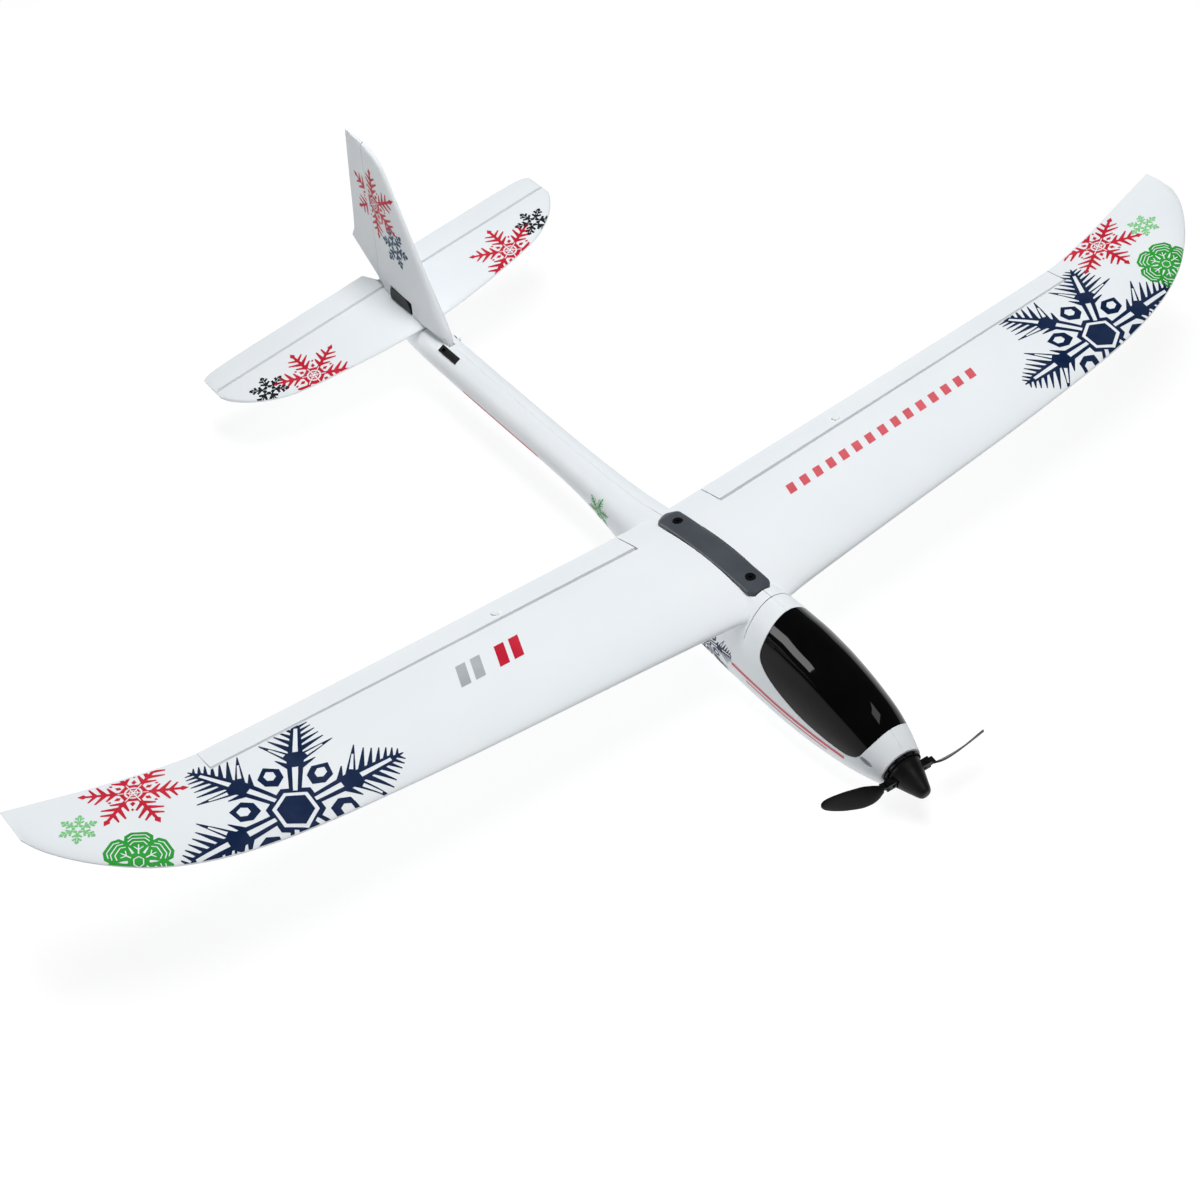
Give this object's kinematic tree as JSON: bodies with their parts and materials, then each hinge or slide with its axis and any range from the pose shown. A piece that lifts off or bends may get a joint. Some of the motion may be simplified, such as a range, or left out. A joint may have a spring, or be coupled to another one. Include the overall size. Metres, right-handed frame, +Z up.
{
  "type": "model glider",
  "caption": "Foam model glider with a pod-and-boom body, long upswept wings, conventional tail, folding nose propeller and lift-off black canopy.",
  "frame": {"origin": "on the belly flat, in the plane of symmetry, straight below the front wing screw", "axes": "+X towards the nose, +Y towards the left wing tip, +Z up"},
  "size_m": [0.528, 0.78, 0.1605],
  "materials": {
    "foam": "fine-beaded moulded foam, satin",
    "canopy": "high gloss",
    "dark_plastic": "satin",
    "white_plastic": "moulded",
    "steel": "bright",
    "servo_case": "moulded",
    "carbon": "ground rod",
    "inner_plastic": "moulded",
    "motor_can": "machined",
    "board": "lacquered",
    "battery_wrap": "shrink film",
    "strap": "woven hook and loop"
  },
  "bodies": {
    "airframe": {"fuselage_left": "foam", "fuselage_right": "foam", "pod_magnet": "steel", "wing_left": "foam", "wing_right": "foam", "wing_spar_left": "carbon", "wing_spar_right": "carbon", "wing_clamp": "dark_plastic", "clamp_screws": "steel", "clamp_anchor": "inner_plastic", "aileron_servo_left": "servo_case", "aileron_servo_right": "servo_case", "stabiliser": "foam", "elevator_servo": "servo_case", "fin": "foam", "rudder_servo": "servo_case", "servo_cover": "dark_plastic", "boom_slot_trim": "dark_plastic", "motor_mount": "dark_plastic", "motor": "motor_can", "control_board": "board", "board_posts": "inner_plastic", "battery": "battery_wrap", "battery_tray": "inner_plastic", "battery_strap": "strap"},
    "canopy_lid": {"canopy": "canopy", "canopy_latch": "inner_plastic", "canopy_magnet": "steel"},
    "left_aileron": {"aileron_left": "foam", "aileron_horn_left": "white_plastic"},
    "right_aileron": {"aileron_right": "foam", "aileron_horn_right": "white_plastic"},
    "left_aileron_arm": {"aileron_arm_left": "white_plastic"},
    "right_aileron_arm": {"aileron_arm_right": "white_plastic"},
    "left_aileron_rod": {"aileron_rod_left": "steel"},
    "right_aileron_rod": {"aileron_rod_right": "steel"},
    "elevator_panel": {"elevator": "foam", "elevator_horn": "white_plastic"},
    "elevator_servo_arm": {"elevator_arm": "white_plastic"},
    "elevator_push_rod": {"elevator_rod": "steel"},
    "rudder_panel": {"rudder": "foam", "rudder_horn": "white_plastic"},
    "rudder_servo_arm": {"rudder_arm": "white_plastic"},
    "rudder_push_rod": {"rudder_rod": "steel"},
    "propeller": {"prop_shaft": "steel", "prop_hub": "dark_plastic", "spinner": "dark_plastic", "blade_pins": "steel"},
    "left_blade": {"blade_left": "dark_plastic"},
    "right_blade": {"blade_right": "dark_plastic"}
  },
  "joints": [
    {"name": "canopy_lift", "type": "slide", "parent": "airframe", "child": "canopy_lid", "axis": [0, 0, 1], "range_m": [0, 0.08]},
    {"name": "aileron_left_hinge", "type": "hinge", "parent": "airframe", "child": "left_aileron", "pos_m": [-0.06, 0.118, 0.06487], "axis": [0, 0.9972, 0.075], "range_deg": [-20, 20]},
    {"name": "aileron_right_hinge", "type": "hinge", "parent": "airframe", "child": "right_aileron", "pos_m": [-0.06, -0.118, 0.06487], "axis": [0, 0.9972, -0.075], "range_deg": [-20, 20]},
    {"name": "aileron_left_arm_turn", "type": "hinge", "parent": "airframe", "child": "left_aileron_arm", "pos_m": [-0.026, 0.11789, 0.06637], "axis": [0, 0.9972, 0.075], "range_deg": [-20, 20]},
    {"name": "aileron_right_arm_turn", "type": "hinge", "parent": "airframe", "child": "right_aileron_arm", "pos_m": [-0.026, -0.11789, 0.06637], "axis": [0, 0.9972, -0.075], "range_deg": [-20, 20]},
    {"name": "aileron_left_rod_end", "type": "hinge", "parent": "left_aileron_arm", "child": "left_aileron_rod", "pos_m": [-0.026, 0.11856, 0.05739], "axis": [0, 0.9972, 0.075], "range_deg": [-20, 20]},
    {"name": "aileron_right_rod_end", "type": "hinge", "parent": "right_aileron_arm", "child": "right_aileron_rod", "pos_m": [-0.026, -0.11856, 0.05739], "axis": [0, 0.9972, -0.075], "range_deg": [-20, 20]},
    {"name": "elevator_hinge", "type": "hinge", "parent": "airframe", "child": "elevator_panel", "pos_m": [-0.354, -0.00141, 0.05171], "axis": [0, 0.9914, 0.1305], "range_deg": [-20, 20]},
    {"name": "elevator_arm_turn", "type": "hinge", "parent": "airframe", "child": "elevator_servo_arm", "pos_m": [-0.296, 0.0111, 0.04246], "axis": [0, 0.9914, 0.1305], "range_deg": [-20, 20]},
    {"name": "elevator_rod_end", "type": "hinge", "parent": "elevator_servo_arm", "child": "elevator_push_rod", "pos_m": [-0.296, 0.01228, 0.03354], "axis": [0, 0.9914, 0.1305], "range_deg": [-20, 20]},
    {"name": "rudder_hinge", "type": "hinge", "parent": "airframe", "child": "rudder_panel", "pos_m": [-0.357, -0.0012, 0.068], "axis": [0, 0, 1], "range_deg": [-20, 20]},
    {"name": "rudder_arm_turn", "type": "hinge", "parent": "airframe", "child": "rudder_servo_arm", "pos_m": [-0.325, 0, 0.068], "axis": [0, 0, 1], "range_deg": [-20, 20]},
    {"name": "rudder_rod_end", "type": "hinge", "parent": "rudder_servo_arm", "child": "rudder_push_rod", "pos_m": [-0.325, 0.009, 0.068], "axis": [0, 0, 1], "range_deg": [-20, 20]},
    {"name": "propeller_spin", "type": "hinge", "parent": "airframe", "child": "propeller", "pos_m": [0.1215, 0, 0.022], "axis": [0.9907, -0.0606, -0.1219], "continuous": true},
    {"name": "blade_left_fold", "type": "hinge", "parent": "propeller", "child": "left_blade", "pos_m": [0.1256, 0.01177, 0.02159], "axis": [0.1216, -0.0074, 0.9925], "range_deg": [0, 45]},
    {"name": "blade_right_fold", "type": "hinge", "parent": "propeller", "child": "right_blade", "pos_m": [0.12414, -0.01218, 0.02159], "axis": [-0.1216, 0.0074, -0.9925], "range_deg": [-14, 31]}
  ],
  "couplings": [
    {"joint": "aileron_right_hinge", "follows": "aileron_left_hinge", "ratio": -1},
    {"joint": "aileron_left_arm_turn", "follows": "aileron_left_hinge", "ratio": 1},
    {"joint": "aileron_left_rod_end", "follows": "aileron_left_hinge", "ratio": -1},
    {"joint": "aileron_right_arm_turn", "follows": "aileron_left_hinge", "ratio": -1},
    {"joint": "aileron_right_rod_end", "follows": "aileron_left_hinge", "ratio": 1},
    {"joint": "elevator_arm_turn", "follows": "elevator_hinge", "ratio": 1},
    {"joint": "elevator_rod_end", "follows": "elevator_hinge", "ratio": -1},
    {"joint": "rudder_arm_turn", "follows": "rudder_hinge", "ratio": 1},
    {"joint": "rudder_rod_end", "follows": "rudder_hinge", "ratio": -1}
  ]
}
